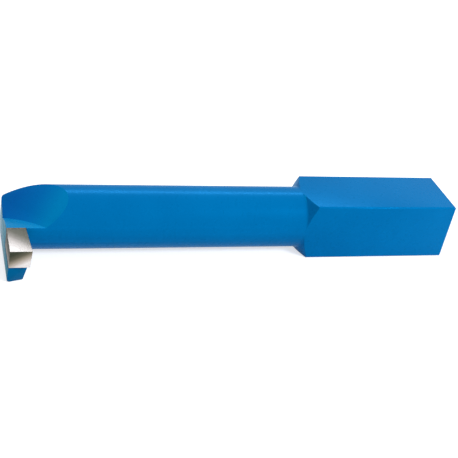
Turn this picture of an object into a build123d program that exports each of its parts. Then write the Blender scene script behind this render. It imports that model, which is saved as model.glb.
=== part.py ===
from build123d import *
import math
import os

# Hook-type boring bar: one steel holder with a square shank, a turned shoulder, a round neck and
# a hooked head, and a carbide tip brazed to the hook.
# +X runs along the bar to the shank's rear end, the hook reaches towards -Y, and +Z is up.
# The origin is the centre of the shank's underside. Lengths are millimetres, angles degrees.

# Square shank
shank_size = 16.0
shank_length = 41.0
shank_edge_radius = 0.5
rear_chamfer = 0.6

# Turned shoulder and round neck
neck_diameter = 16.0
shoulder_length = 2.2
shoulder_root_radius = 0.8
reach = 80.0  # shank's full section to the cutting corner

# Head: cutting corner, and the end face that swings back from it
rake_height = 1.8  # rake face above the neck's axis
cutting_offset = 17.4  # cutting edge out from the neck's axis
end_clearance = 2.0
end_edge_radius = 0.9  # end face's lower and back edges

# Chip gullet: a plane ramp that climbs to the neck's top, and a crowned floor behind the tip
gullet_length = 14.6  # end face to where the ramp crosses the neck's top line
gullet_climb = 35.3
gullet_cross_fall = 19.2
floor_fall = 10.5
floor_crown_radius = 32.0

# Carbide tip
tip_width = 5.2  # along the cutting edge
tip_length = 9.6
tip_thickness = 5.0
tip_side_relief = 1.8  # each side narrows towards the back
tip_side_clearance = 1.2  # each side leans in below the rake face
tip_front_clearance = 7.0

# Braze film under and behind the tip
braze_thickness = 0.2

# Hook under the tip
hook_width = 4.9  # at the seat, from the cutting corner's plane
hook_side_lean = 11.5
hook_set_back = 0.1  # hook's front edge behind the tip's lower edge
hook_front_lean = 9.0
hook_front_turn = 15.0  # front face swings back from the end-face side
hook_root_radius = 1.6

# Worked out from the sizes above
axis_height = shank_size / 2
neck_radius = neck_diameter / 2
shank_front = -shank_length / 2
shank_rear = shank_length / 2
corner_x = shank_front - reach
rake_z = axis_height + rake_height
tip_bottom_z = rake_z - tip_thickness
seat_z = tip_bottom_z - braze_thickness
foot_z = axis_height - neck_radius
edge_y = -cutting_offset
tip_back_y = edge_y + tip_length
seat_wall_y = tip_back_y + braze_thickness
well_clear = 4 * shank_size  # how far cutters run past what they cut


def drop(depth, angle):
    """Sideways travel of a face that leans by angle over a depth."""
    return depth * math.tan(math.radians(angle))


def shank_and_neck():
    """Rounded square bar, turned down through a conical shoulder to the round neck."""
    corner_radius = shank_size / math.sqrt(2)
    start_x = corner_x - drop(neck_diameter, end_clearance) - 1.0
    square = Plane.YZ.offset(start_x) * RectangleRounded(shank_size, shank_size, shank_edge_radius)
    bar = extrude(square, amount=shank_rear - start_x)
    envelope = Pos(start_x, 0, 0) * Box(
        shank_rear - start_x, shank_size, shank_size, align=(Align.MIN, Align.CENTER, Align.CENTER)
    )
    envelope = chamfer(envelope.faces().sort_by(Axis.X)[-1].edges(), rear_chamfer)
    turning = Polyline(
        (start_x - 1.0, 0),
        (start_x - 1.0, neck_radius),
        (shank_front - shoulder_length, neck_radius),
        (shank_front, corner_radius),
        (shank_rear + 1.0, corner_radius),
        (shank_rear + 1.0, 0),
        close=True,
    )
    section = make_face(turning)
    root = section.vertices().sort_by_distance((shank_front - shoulder_length, neck_radius))[0]
    turned = revolve(fillet(root, shoulder_root_radius), Axis.X)
    return Pos(0, 0, axis_height) * (bar & envelope & turned)


def within_hook(solid):
    """The share of a solid inside the planes of the hook's leaning side and swung-back front."""
    lean = math.radians(hook_side_lean)
    side = Plane(
        origin=(corner_x + hook_width, 0, seat_z),
        x_dir=(0, 1, 0),
        z_dir=(math.cos(lean), 0, -math.sin(lean)),
    )
    front_lean = math.radians(hook_front_lean)
    front = Plane(
        origin=(corner_x, edge_y + drop(tip_thickness, tip_front_clearance) + hook_set_back, seat_z),
        x_dir=Vector(1, 0, 0).rotate(Axis.Z, hook_front_turn),
        z_dir=Vector(0, math.cos(front_lean), math.sin(front_lean)).rotate(Axis.Z, hook_front_turn),
    )
    kept = split(solid, bisect_by=side, keep=Keep.BOTTOM)
    return split(kept, bisect_by=front, keep=Keep.TOP)


def hook_arm():
    """Arm from the neck out to the tip's front, level with the neck's underside."""
    block = Box(
        hook_width + 4.0, cutting_offset + 1.0, seat_z - foot_z, align=(Align.MIN, Align.MIN, Align.MIN)
    )
    return within_hook(Pos(corner_x - 2.0, edge_y - 1.0, foot_z) * block)


def hook_root():
    """Turned radius where the neck runs up to the hook, as high as the seat."""
    hook_x = corner_x + hook_width - drop(seat_z - foot_z, hook_side_lean)
    run = 2 * hook_root_radius
    turning = Polyline(
        (hook_x - run, 0),
        (hook_x - run, neck_radius + run),
        (hook_x, neck_radius + run),
        (hook_x, neck_radius),
        (hook_x + run, neck_radius),
        (hook_x + run, 0),
        close=True,
    )
    section = make_face(turning)
    root = section.vertices().sort_by_distance((hook_x, neck_radius))[0]
    turned = Pos(0, 0, axis_height) * revolve(fillet(root, hook_root_radius), Axis.X)
    inside = Pos(hook_x, 0, foot_z) * Box(
        run, neck_diameter, seat_z - foot_z, align=(Align.MIN, Align.MAX, Align.MIN)
    )
    return turned & inside


def end_trim():
    """Everything beyond the head's end face and outside its rounded lower and back edges."""
    radius = end_edge_radius
    swing = math.radians(end_clearance)
    back_y = (cutting_offset + neck_radius + radius * math.sin(swing)) / math.cos(swing)
    low_z = foot_z - axis_height
    block = Pos(-well_clear / 2, 0, 0) * Box(well_clear, 2 * well_clear, 2 * well_clear)
    low_corner = Pos(0, 0, low_z - 1.0) * Box(
        radius, 2 * well_clear, radius + 1.0, align=(Align.MIN, Align.CENTER, Align.MIN)
    )
    low_round = Pos(radius, 0, low_z + radius) * Rot(90, 0, 0) * Cylinder(radius, 3 * well_clear)
    back_corner = Pos(0, back_y + 1.0, 0) * Box(
        radius, radius + 1.0, 2 * well_clear, align=(Align.MIN, Align.MAX, Align.CENTER)
    )
    back_round = Pos(radius, back_y - radius, 0) * Cylinder(radius, 3 * well_clear)
    cutter = block + (low_corner - low_round) + (back_corner - back_round)
    return Pos(corner_x, edge_y, axis_height) * Rot(0, 0, -end_clearance) * cutter


def gullet_cutter():
    """Space above both the climbing ramp and the crowned floor."""
    fall = math.radians(floor_fall)
    floor_start = (seat_wall_y, rake_z)
    run = 2 * neck_diameter
    crown_centre = (
        seat_wall_y - floor_crown_radius * math.sin(fall),
        rake_z - floor_crown_radius * math.cos(fall),
    )
    crown_turn = run / floor_crown_radius
    floor_end = (
        crown_centre[0] + floor_crown_radius * math.sin(fall + crown_turn),
        crown_centre[1] + floor_crown_radius * math.cos(fall + crown_turn),
    )
    floor_middle = (
        crown_centre[0] + floor_crown_radius * math.sin(fall + crown_turn / 2),
        crown_centre[1] + floor_crown_radius * math.cos(fall + crown_turn / 2),
    )
    front = (edge_y - 1.0, rake_z)
    top_z = rake_z + well_clear
    outline = (
        Line(front, floor_start)
        + ThreePointArc(floor_start, floor_middle, floor_end)
        + Polyline(floor_end, (floor_end[0], top_z), (front[0], top_z), front)
    )
    above_floor = extrude(Plane.YZ.offset(corner_x - 2.0) * make_face(outline), amount=well_clear)
    climb = math.tan(math.radians(gullet_climb))
    cross_fall = math.tan(math.radians(gullet_cross_fall))
    ramp_plane = Plane(
        origin=(corner_x + gullet_length, 0, axis_height + neck_radius),
        x_dir=(1, 0, climb),
        z_dir=(-climb, -cross_fall, 1),
    )
    return split(above_floor, bisect_by=ramp_plane, keep=Keep.TOP)


def tip_block(back_extra, bottom_extra):
    """Tip's tapered block, carried on by the given amounts behind and below."""
    length = tip_length + back_extra
    depth = tip_thickness + bottom_extra
    narrowing = drop(length, tip_side_relief)
    leaning = drop(depth, tip_side_clearance)
    back_y = edge_y + length
    top = Polyline(
        (corner_x, edge_y),
        (corner_x + tip_width, edge_y),
        (corner_x + tip_width - narrowing, back_y),
        (corner_x + narrowing, back_y),
        close=True,
    )
    front_y = edge_y + drop(depth, tip_front_clearance)
    foot_narrowing = drop(back_y - front_y, tip_side_relief)
    bottom = Polyline(
        (corner_x + leaning, front_y),
        (corner_x + tip_width - leaning, front_y),
        (corner_x + tip_width - leaning - foot_narrowing, back_y),
        (corner_x + leaning + foot_narrowing, back_y),
        close=True,
    )
    top_face = Pos(0, 0, rake_z) * make_face(top)
    bottom_face = Pos(0, 0, rake_z - depth) * make_face(bottom)
    return loft([bottom_face, top_face])


def tip_pocket():
    """Open pocket that leaves the hook's seat and the wall behind the tip."""
    right_x = corner_x + tip_width - drop(tip_length, tip_side_relief) + braze_thickness
    pocket = Box(
        right_x - corner_x + 2.0,
        seat_wall_y - edge_y + 2.0,
        2 * tip_thickness,
        align=(Align.MAX, Align.MAX, Align.MIN),
    )
    return Pos(right_x, seat_wall_y, seat_z) * pocket


def holder():
    """One-piece steel holder."""
    body = shank_and_neck() + hook_arm() + hook_root()
    return body - end_trim() - gullet_cutter() - tip_pocket()


def braze_seam():
    """Filler film on the hook's seat and up the wall behind the tip."""
    film = tip_block(braze_thickness, braze_thickness) - tip_block(0, 0)
    seat = Box(2 * tip_width, cutting_offset, braze_thickness, align=(Align.MIN, Align.MIN, Align.MIN))
    seat = within_hook(Pos(corner_x - 1.0, edge_y - 1.0, seat_z) * seat)
    wall = Box(2 * tip_width, braze_thickness, 2 * tip_thickness, align=(Align.MIN, Align.MIN, Align.MIN))
    wall = Pos(corner_x - 1.0, tip_back_y, seat_z) * wall
    return film & (seat + wall)


os.makedirs("parts", exist_ok=True)
export_step(holder(), "parts/holder.step")
export_step(tip_block(0, 0), "parts/carbide_tip.step")
export_step(braze_seam(), "parts/braze_seam.step")
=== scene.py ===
import math

import bpy
from mathutils import Matrix, Vector


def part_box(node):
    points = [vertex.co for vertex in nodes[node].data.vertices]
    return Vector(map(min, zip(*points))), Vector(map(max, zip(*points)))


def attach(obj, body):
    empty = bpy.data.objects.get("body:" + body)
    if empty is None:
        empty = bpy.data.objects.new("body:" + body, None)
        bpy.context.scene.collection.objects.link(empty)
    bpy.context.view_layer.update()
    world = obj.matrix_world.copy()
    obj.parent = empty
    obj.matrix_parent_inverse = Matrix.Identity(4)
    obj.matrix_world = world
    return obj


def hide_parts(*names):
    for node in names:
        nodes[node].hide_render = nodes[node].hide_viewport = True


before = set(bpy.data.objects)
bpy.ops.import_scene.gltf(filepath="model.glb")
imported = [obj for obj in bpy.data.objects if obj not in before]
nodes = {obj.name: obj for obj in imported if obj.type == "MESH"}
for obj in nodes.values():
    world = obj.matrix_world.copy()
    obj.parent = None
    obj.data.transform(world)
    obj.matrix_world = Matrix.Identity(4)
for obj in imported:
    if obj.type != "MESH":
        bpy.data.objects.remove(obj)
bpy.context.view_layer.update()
mm = 0.001
print("frame loaded:", ", ".join(sorted(nodes)))


# small helpers

plainWhite = (1.0, 1.0, 1.0, 1.0)
mixFactor, mixFirst, mixSecond = 0, 6, 7  # a colour Mix node's inputs, by number
mixResult = 2  # and its output
noiseLow, noiseHigh = 0.3, 0.7  # most of what a noise texture gives lies between these


def linearColor(hexCode):
    # sRGB hex to the linear values that shaders work in
    parts = [int(hexCode[i:i + 2], 16) / 255 for i in (1, 3, 5)]
    return tuple(c / 12.92 if c <= 0.04045 else ((c + 0.055) / 1.055) ** 2.4 for c in parts) + (1.0,)


def addNode(tree, kind, settings=None, inputs=None, stops=()):
    # one node with its settings; an input is a plain value or another node's output,
    # and stops are a colour ramp's (position, hex colour) pairs
    node = tree.nodes.new(kind)
    for number, (position, hexCode) in enumerate(stops):
        element = node.color_ramp.elements[number] if number < 2 else node.color_ramp.elements.new(position)
        element.position = position
        element.color = linearColor(hexCode)
    for name, value in (settings or {}).items():
        setattr(node, name, value)
    for name, value in (inputs or {}).items():
        if isinstance(value, bpy.types.NodeSocket):
            tree.links.new(value, node.inputs[name])
        else:
            node.inputs[name].default_value = value
    return node


def newTree(name):
    # a material whose nodes are still to be added
    material = bpy.data.materials.new(name)
    material.use_nodes = True
    material.node_tree.nodes.clear()
    return material, material.node_tree


def boxCoordinates(tree, low, high):
    # 0 to 1 across a box in each direction, from the piece's own coordinates
    size = high - low
    place = addNode(tree, "ShaderNodeTexCoord").outputs["Object"]
    mapped = addNode(tree, "ShaderNodeMapping", inputs={
        "Vector": place,
        "Scale": [1 / width for width in size],
        "Location": [-start / width for start, width in zip(low, size)]})
    return addNode(tree, "ShaderNodeSeparateXYZ", inputs={"Vector": mapped.outputs[0]}).outputs


def facing(tree, normal, fade):
    # 1 where the surface looks along normal within the first angle, down to 0 at the second
    inner, outer = fade
    turned = addNode(tree, "ShaderNodeVectorMath", {"operation": "DOT_PRODUCT"}, {
        0: addNode(tree, "ShaderNodeTexCoord").outputs["Normal"],
        1: Vector(normal).normalized()})
    return addNode(tree, "ShaderNodeMapRange", inputs={
        "Value": turned.outputs["Value"],
        "From Min": math.cos(math.radians(outer)),
        "From Max": math.cos(math.radians(inner))}).outputs[0]


copyCare = {
    "mergeGap": 0.002 * mm,
    "flatAngle": 0.4,  # degrees, below which neighbouring triangles are one face
    "smoothExtra": 6,  # degrees more than the bevel's angle that still shade smooth
}


def softenedCopy(nodeName, pieceName, look):
    # a merged copy of the CAD node, its sharp edges eased by a narrow bevel
    bpy.ops.object.select_all(action="DESELECT")
    piece = nodes[nodeName].copy()
    piece.data = nodes[nodeName].data.copy()
    piece.name = pieceName
    piece.parent = None
    for key in list(piece.keys()):
        del piece[key]
    bpy.context.scene.collection.objects.link(piece)
    piece.select_set(True)
    bpy.context.view_layer.objects.active = piece
    bpy.ops.object.mode_set(mode="EDIT")
    bpy.ops.mesh.select_all(action="SELECT")
    bpy.ops.mesh.customdata_custom_splitnormals_clear()
    bpy.ops.mesh.remove_doubles(threshold=copyCare["mergeGap"])
    bpy.ops.mesh.dissolve_limited(angle_limit=math.radians(copyCare["flatAngle"]), delimit={"NORMAL"})
    bpy.ops.object.mode_set(mode="OBJECT")
    bevel = piece.modifiers.new("easedEdges", "BEVEL")
    bevel.width = look["edgeWidth"]
    bevel.segments = look["edgeSteps"]
    bevel.limit_method = "ANGLE"
    bevel.angle_limit = math.radians(look["smoothAngle"])
    bpy.ops.object.modifier_apply(modifier=bevel.name)
    bpy.ops.object.shade_smooth_by_angle(angle=math.radians(look["smoothAngle"] + copyCare["smoothExtra"]))
    piece.select_set(False)
    return piece


def finishPiece(piece, nodeName, material):
    # the piece stands for its CAD node and takes that node's place on the body
    piece.data.materials.clear()
    piece.data.materials.append(material)
    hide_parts(nodeName)
    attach(piece, "root")


# camera: above and in front, nearer the head than the shank

cameraPlace = {
    "location": (-134.64, -215.77, 150.72),  # mm
    "turn": 23.497,  # degrees to the right of looking straight along +Y
    "down": 31.943,
    "roll": 12.668,
    "lens": 82.53,  # mm
    "sensor": 36.0,  # mm
    "nearest": 5 * mm,
    "farthest": 20.0,
}


def makeCamera():
    data = bpy.data.cameras.new("productCamera")
    data.sensor_width = cameraPlace["sensor"]
    data.lens = cameraPlace["lens"]
    data.clip_start = cameraPlace["nearest"]
    data.clip_end = cameraPlace["farthest"]
    camera = bpy.data.objects.new("productCamera", data)
    bpy.context.scene.collection.objects.link(camera)
    turned = Matrix.Rotation(-math.radians(cameraPlace["turn"]), 4, "Z")
    tipped = Matrix.Rotation(math.radians(90 - cameraPlace["down"]), 4, "X")
    rolled = Matrix.Rotation(math.radians(cameraPlace["roll"]), 4, "Z")
    place = Matrix.Translation(Vector(cameraPlace["location"]) * mm)
    camera.matrix_world = place @ turned @ tipped @ rolled
    bpy.context.scene.camera = camera


makeCamera()
print("camera placed")


# studio: pale floor, pale surround, soft lamps

studio = {
    "floorSize": 4.0,
    "floorColor": "#D8D8D8",
    "floorLift": 0.64,  # white that the floor adds for the camera and for reflections
    "roomLow": 0.36,  # room light from the head's side
    "roomHigh": 0.70,  # room light from the shank's side
    "lamps": [  # name, place in m, width and height in m, watts
        ("backStrip", (0.06, 0.47, 0.56), (0.46, 0.10), 1.35),
        ("frontSoftbox", (0.34, -0.42, 0.53), (0.20, 0.20), 3.0),
    ],
    "lampAim": (-0.04, 0.0, 0.01),
}


def backgroundRays(tree):
    # 1 for the rays that should meet a plain white background
    path = addNode(tree, "ShaderNodeLightPath")
    mirror = addNode(tree, "ShaderNodeMath", {"operation": "MAXIMUM"}, {
        0: path.outputs["Is Glossy Ray"],
        1: path.outputs["Is Transmission Ray"]})
    both = addNode(tree, "ShaderNodeMath", {"operation": "MAXIMUM"}, {
        0: path.outputs["Is Camera Ray"],
        1: mirror.outputs[0]})
    return both.outputs[0]


def makeFloor():
    # matte white paper sweep: no shine of its own, and it takes the soft shadow
    bpy.ops.object.select_all(action="DESELECT")
    bpy.ops.mesh.primitive_plane_add(size=studio["floorSize"], location=(0, 0, 0))
    floor = bpy.context.object
    floor.name = "studioFloor"
    material, tree = newTree("matteWhiteSweep")
    matte = addNode(tree, "ShaderNodeBsdfDiffuse", inputs={"Color": linearColor(studio["floorColor"])})
    strength = addNode(tree, "ShaderNodeMath", {"operation": "MULTIPLY"}, {
        0: backgroundRays(tree),
        1: studio["floorLift"]})
    lift = addNode(tree, "ShaderNodeEmission", inputs={
        "Color": plainWhite,
        "Strength": strength.outputs[0]})
    both = addNode(tree, "ShaderNodeAddShader", inputs={0: matte.outputs[0], 1: lift.outputs[0]})
    addNode(tree, "ShaderNodeOutputMaterial", inputs={"Surface": both.outputs[0]})
    floor.data.materials.append(material)


def makeRoom():
    # white for the camera and in reflections, graded along the bar as a light
    world = bpy.data.worlds.new("paleRoom")
    bpy.context.scene.world = world
    world.use_nodes = True
    tree = world.node_tree
    tree.nodes.clear()
    direction = addNode(tree, "ShaderNodeTexCoord").outputs["Generated"]
    along = addNode(tree, "ShaderNodeSeparateXYZ", inputs={"Vector": direction}).outputs["X"]
    room = addNode(tree, "ShaderNodeMapRange", inputs={
        "Value": along,
        "From Min": -1.0,
        "From Max": 1.0,
        "To Min": studio["roomLow"],
        "To Max": studio["roomHigh"]})
    strength = addNode(tree, "ShaderNodeMix", {"data_type": "FLOAT"}, {
        "Factor": backgroundRays(tree),
        "A": room.outputs[0],
        "B": 1.0})
    light = addNode(tree, "ShaderNodeBackground", inputs={
        "Color": plainWhite,
        "Strength": strength.outputs["Result"]})
    addNode(tree, "ShaderNodeOutputWorld", inputs={"Surface": light.outputs[0]})


def makeLamps():
    for name, place, size, watts in studio["lamps"]:
        data = bpy.data.lights.new(name, "AREA")
        data.shape = "RECTANGLE"
        data.size = size[0]
        data.size_y = size[1]
        data.energy = watts
        lamp = bpy.data.objects.new(name, data)
        bpy.context.scene.collection.objects.link(lamp)
        lamp.location = place
        aim = Vector(studio["lampAim"]) - Vector(place)
        lamp.rotation_euler = aim.to_track_quat("-Z", "Y").to_euler()


makeFloor()
makeRoom()
makeLamps()
bpy.context.scene.view_settings.view_transform = "Standard"
print("studio set")


# holder: one steel piece, sprayed with blue enamel

holderLook = {
    "edgeWidth": 0.12 * mm,
    "edgeSteps": 2,
    "smoothAngle": 24,  # degrees
    "halfBar": 8.0,  # mm, half the square and half the neck
    "paint": [(0.35, "#0071B5"), (0.65, "#0076BB")],
    "paintWidth": 18.0,  # mm, between deeper and lighter places
    # three matched tones that stand in for how light falls on the head: gullet, seatFloorLight and foot
    "gullet": [(0.15, "#0086C7"), (0.5, "#0072C0"), (0.85, "#0066BB")],  # painted shade, front right to back left
    "gulletLength": 15.0,  # mm from the end face
    "gulletSpan": 0.8,  # the share of its diagonal that the tones cover
    "gulletNormal": (-0.56, -0.28, 0.78),
    "gulletFade": (6, 12),  # degrees
    "seatFloorLight": "#008CCC",  # painted light on the floor behind the tip
    "seatFloorNormal": (0, 0.25, 0.97),
    "seatFloorFade": (14, 20),  # degrees
    "seatFloorMargin": 0.036 * mm,  # above the rake face, past where the floor ends
    "footShade": "#006092",  # painted shade on the hook's outer part
    "footFade": (1.0, 0.5),  # starts and is full at; 1 is beside the neck, 0 the hook's front
    "footShare": 0.8,
    "endFaceSheen": "#428CA8",  # greyer blue on the end face: painted sheen, the pale shine it shows at a glancing angle
    "endFaceNormal": (-1, 0, 0),
    "endFaceFade": (8, 20),  # degrees
    "sheenPatchWidth": 2.5,  # mm, between weaker and stronger places of the painted sheen
    "sheenPatchRange": (0.3, 0.5),  # of the noise
    "sheenPatchLeast": 0.7,
    # matched values: a small metallic share and a faint tinted gloss keep the shine blue
    "metallic": 0.12,
    "gloss": 0.03,
    "glossTint": "#00F4FF",
    "ior": 1.5,
    "roughness": 0.28,
    "roughnessSwing": 0.012,
    "roughnessWidth": 1.4,  # mm, between duller and glossier places
}


def blueEnamel():
    # sprayed enamel on steel: a deep even blue with a satin gloss, a little uneven from place to place
    look = holderLook
    halfBar = look["halfBar"] * mm
    low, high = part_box("holder")
    tipLow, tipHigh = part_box("carbide_tip")
    material, tree = newTree("blueEnamelPaint")
    place = addNode(tree, "ShaderNodeTexCoord").outputs["Object"]
    slow = addNode(tree, "ShaderNodeTexNoise", inputs={
        "Vector": place,
        "Scale": 1 / (look["paintWidth"] * mm),
        "Detail": 3.0,
        "Roughness": 0.5})
    color = addNode(tree, "ShaderNodeValToRGB", inputs={"Fac": slow.outputs["Fac"]},
                    stops=look["paint"]).outputs["Color"]

    # gullet's ramp: painted shade, deeper towards the back left
    gulletEnd = Vector((low.x + look["gulletLength"] * mm, halfBar, 2 * halfBar))
    gullet = boxCoordinates(tree, Vector((low.x, -halfBar, halfBar)), gulletEnd)
    diagonal = addNode(tree, "ShaderNodeMath", {"operation": "SUBTRACT"}, {0: gullet["Y"], 1: gullet["X"]})
    diagonal = addNode(tree, "ShaderNodeMapRange", inputs={
        "Value": diagonal.outputs[0],
        "From Min": -look["gulletSpan"],
        "From Max": look["gulletSpan"]})
    gulletShade = addNode(tree, "ShaderNodeValToRGB", inputs={"Fac": diagonal.outputs[0]},
                         stops=look["gullet"])
    color = addNode(tree, "ShaderNodeMix", {"data_type": "RGBA"}, {
        mixFactor: facing(tree, look["gulletNormal"], look["gulletFade"]),
        mixFirst: color,
        mixSecond: gulletShade.outputs["Color"]}).outputs[mixResult]

    # floor behind the tip: painted light, a lighter blue
    height = addNode(tree, "ShaderNodeSeparateXYZ", inputs={"Vector": place}).outputs["Z"]
    belowRake = addNode(tree, "ShaderNodeMath", {"operation": "LESS_THAN"}, {
        0: height,
        1: tipHigh.z + look["seatFloorMargin"]})
    seatFloorLight = addNode(tree, "ShaderNodeMath", {"operation": "MULTIPLY"}, {
        0: facing(tree, look["seatFloorNormal"], look["seatFloorFade"]),
        1: belowRake.outputs[0]})
    color = addNode(tree, "ShaderNodeMix", {"data_type": "RGBA"}, {
        mixFactor: seatFloorLight.outputs[0],
        mixFirst: color,
        mixSecond: linearColor(look["seatFloorLight"])}).outputs[mixResult]

    # hook: painted shade, deeper towards its outer part
    hook = boxCoordinates(tree, low, Vector((tipHigh.x, -halfBar, tipLow.z)))
    footShade = addNode(tree, "ShaderNodeMapRange", inputs={
        "Value": hook["Y"],
        "From Min": look["footFade"][0],
        "From Max": look["footFade"][1],
        "To Max": look["footShare"]})
    color = addNode(tree, "ShaderNodeMix", {"data_type": "RGBA"}, {
        mixFactor: footShade.outputs[0],
        mixFirst: color,
        mixSecond: linearColor(look["footShade"])}).outputs[mixResult]

    # end face: painted sheen, a greyer blue in patches
    sheenNoise = addNode(tree, "ShaderNodeTexNoise", inputs={
        "Vector": place,
        "Scale": 1 / (look["sheenPatchWidth"] * mm),
        "Detail": 4.0})
    sheenPatches = addNode(tree, "ShaderNodeMapRange", inputs={
        "Value": sheenNoise.outputs["Fac"],
        "From Min": look["sheenPatchRange"][0],
        "From Max": look["sheenPatchRange"][1],
        "To Min": look["sheenPatchLeast"]})
    endFaceSheen = addNode(tree, "ShaderNodeMath", {"operation": "MULTIPLY"}, {
        0: facing(tree, look["endFaceNormal"], look["endFaceFade"]),
        1: sheenPatches.outputs[0]})
    color = addNode(tree, "ShaderNodeMix", {"data_type": "RGBA"}, {
        mixFactor: endFaceSheen.outputs[0],
        mixFirst: color,
        mixSecond: linearColor(look["endFaceSheen"])}).outputs[mixResult]

    fine = addNode(tree, "ShaderNodeTexNoise", inputs={
        "Vector": place,
        "Scale": 1 / (look["roughnessWidth"] * mm),
        "Detail": 2.0,
        "Roughness": 0.45})
    satin = addNode(tree, "ShaderNodeMapRange", inputs={
        "Value": fine.outputs["Fac"],
        "From Min": noiseLow,
        "From Max": noiseHigh,
        "To Min": look["roughness"] - look["roughnessSwing"],
        "To Max": look["roughness"] + look["roughnessSwing"]})
    paint = addNode(tree, "ShaderNodeBsdfPrincipled", inputs={
        "Base Color": color,
        "Roughness": satin.outputs[0],
        "IOR": look["ior"],
        "Metallic": look["metallic"],
        "Specular IOR Level": look["gloss"],
        "Specular Tint": linearColor(look["glossTint"])})
    addNode(tree, "ShaderNodeOutputMaterial", inputs={"Surface": paint.outputs[0]})
    return material


holderSkin = softenedCopy("holder", "holder_painted", holderLook)
finishPiece(holderSkin, "holder", blueEnamel())
print("holder painted,", len(holderSkin.data.polygons), "faces")


# carbide tip: sintered block, its faces ground

tipLook = {
    "edgeWidth": 0.03 * mm,
    "edgeSteps": 1,
    "smoothAngle": 30,  # degrees
    "plain": "#A9A8A4",
    # matched shades that stand in for what the three bright faces mirror
    "rake": [  # front left to back right
        (0.18, "#CDCACA"),
        (0.38, "#B0ACAB"),
        (0.52, "#858380"),
        (0.68, "#64655F"),
        (0.92, "#585B55"),
    ],
    "rakeSkew": 0.5,
    "flank": [  # top left to bottom right
        (0.20, "#3C4035"),
        (0.38, "#5E5B4E"),
        (0.50, "#8D8577"),
        (0.62, "#B4AAA2"),
        (0.76, "#D8D3D2"),
    ],
    "flankSkew": 0.6,
    "side": [(0.22, "#D3D0CE"), (0.46, "#8A8379"), (0.72, "#2C2D28")],  # bottom to top
    "faceFade": (30, 60),  # degrees
    "edgeTint": "#9C9A96",  # a matched value: the faces stay darker at a glancing angle
    "roughness": 0.27,
    "grindPitch": 0.30,  # mm between grinding lines; real grit is finer, this shows at this size
    "grindStretch": 0.05,  # the lines run along the tip, twenty times as long as they are apart
    "grindTurn": 35,  # degrees that the noise under the lines is turned; the lines stay
    "grindShades": (0.93, 1.05),  # how far the lines darken and lighten the colour
    "grindDepth": 0.01 * mm,
    "grindStrength": 0.3,
}


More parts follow.
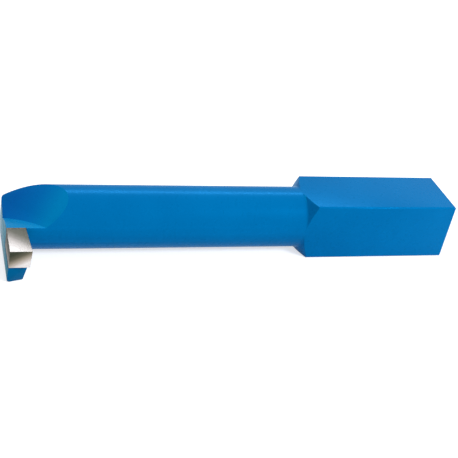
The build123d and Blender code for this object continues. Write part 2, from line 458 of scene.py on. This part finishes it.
def groundCarbide():
    # cemented carbide off a diamond wheel: cold grey metal with a satin shine and fine straight lines
    look = tipLook
    low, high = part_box("carbide_tip")
    material, tree = newTree("groundCementedCarbide")
    place = addNode(tree, "ShaderNodeTexCoord").outputs["Object"]
    turned = addNode(tree, "ShaderNodeMapping", inputs={
        "Vector": place,
        "Rotation": (0, 0, math.radians(look["grindTurn"])),
        "Scale": (1.0, look["grindStretch"], 1.0)})
    lines = addNode(tree, "ShaderNodeTexNoise", inputs={
        "Vector": turned.outputs[0],
        "Scale": 1 / (look["grindPitch"] * mm),
        "Detail": 3.0,
        "Roughness": 0.6})

    # painted reflections on the rake face, the front and the side
    across = boxCoordinates(tree, low, high)
    backRight = addNode(tree, "ShaderNodeMath", {"operation": "MULTIPLY_ADD"}, {
        0: across["X"],
        1: look["rakeSkew"],
        2: across["Y"]})
    backRight = addNode(tree, "ShaderNodeMath", {"operation": "DIVIDE"}, {
        0: backRight.outputs[0],
        1: 1 + look["rakeSkew"]})
    below = addNode(tree, "ShaderNodeMath", {"operation": "SUBTRACT"}, {0: 1.0, 1: across["Z"]})
    lowRight = addNode(tree, "ShaderNodeMath", {"operation": "MULTIPLY_ADD"}, {
        0: across["X"],
        1: look["flankSkew"],
        2: below.outputs[0]})
    lowRight = addNode(tree, "ShaderNodeMath", {"operation": "DIVIDE"}, {
        0: lowRight.outputs[0],
        1: 1 + look["flankSkew"]})
    faces = (
        ((0, 0, 1), backRight.outputs[0], look["rake"]),
        ((0, -1, 0), lowRight.outputs[0], look["flank"]),
        ((-1, 0, 0), across["Z"], look["side"]),
    )
    color = linearColor(look["plain"])
    for normal, run, stops in faces:
        shades = addNode(tree, "ShaderNodeValToRGB", inputs={"Fac": run}, stops=stops)
        color = addNode(tree, "ShaderNodeMix", {"data_type": "RGBA"}, {
            mixFactor: facing(tree, normal, look["faceFade"]),
            mixFirst: color,
            mixSecond: shades.outputs["Color"]}).outputs[mixResult]

    # grinding lines, in the colour and as a shallow relief
    shade = addNode(tree, "ShaderNodeMapRange", inputs={
        "Value": lines.outputs["Fac"],
        "From Min": noiseLow,
        "From Max": noiseHigh,
        "To Min": look["grindShades"][0],
        "To Max": look["grindShades"][1]})
    color = addNode(tree, "ShaderNodeVectorMath", {"operation": "SCALE"}, {
        "Vector": color,
        "Scale": shade.outputs[0]}).outputs[0]
    bump = addNode(tree, "ShaderNodeBump", inputs={
        "Strength": look["grindStrength"],
        "Distance": look["grindDepth"],
        "Height": lines.outputs["Fac"]})
    metal = addNode(tree, "ShaderNodeBsdfPrincipled", inputs={
        "Base Color": color,
        "Metallic": 1.0,
        "Roughness": look["roughness"],
        "Specular Tint": linearColor(look["edgeTint"]),
        "Normal": bump.outputs[0]})
    addNode(tree, "ShaderNodeOutputMaterial", inputs={"Surface": metal.outputs[0]})
    return material


tip = softenedCopy("carbide_tip", "tip_ground", tipLook)
finishPiece(tip, "carbide_tip", groundCarbide())
print("tip ground,", len(tip.data.polygons), "faces")


# braze seam: thin film of brass filler

seamLook = {
    "shades": [(0.4, "#3E3A33"), (0.6, "#8A6E46")],  # stain, brass
    "stainWidth": 0.8,  # mm
    "roughness": 0.55,
}


def fluxStainedBrass():
    # brass brazing filler, as it sets: dull yellow metal with brown stains
    look = seamLook
    material, tree = newTree("fluxStainedBrass")
    place = addNode(tree, "ShaderNodeTexCoord").outputs["Object"]
    stain = addNode(tree, "ShaderNodeTexNoise", inputs={
        "Vector": place,
        "Scale": 1 / (look["stainWidth"] * mm),
        "Detail": 4.0})
    color = addNode(tree, "ShaderNodeValToRGB", inputs={"Fac": stain.outputs["Fac"]},
                    stops=look["shades"]).outputs["Color"]
    metal = addNode(tree, "ShaderNodeBsdfPrincipled", inputs={
        "Base Color": color,
        "Metallic": 1.0,
        "Roughness": look["roughness"]})
    addNode(tree, "ShaderNodeOutputMaterial", inputs={"Surface": metal.outputs[0]})
    return material


nodes["braze_seam"].data.materials.clear()
nodes["braze_seam"].data.materials.append(fluxStainedBrass())
print("seam coloured")
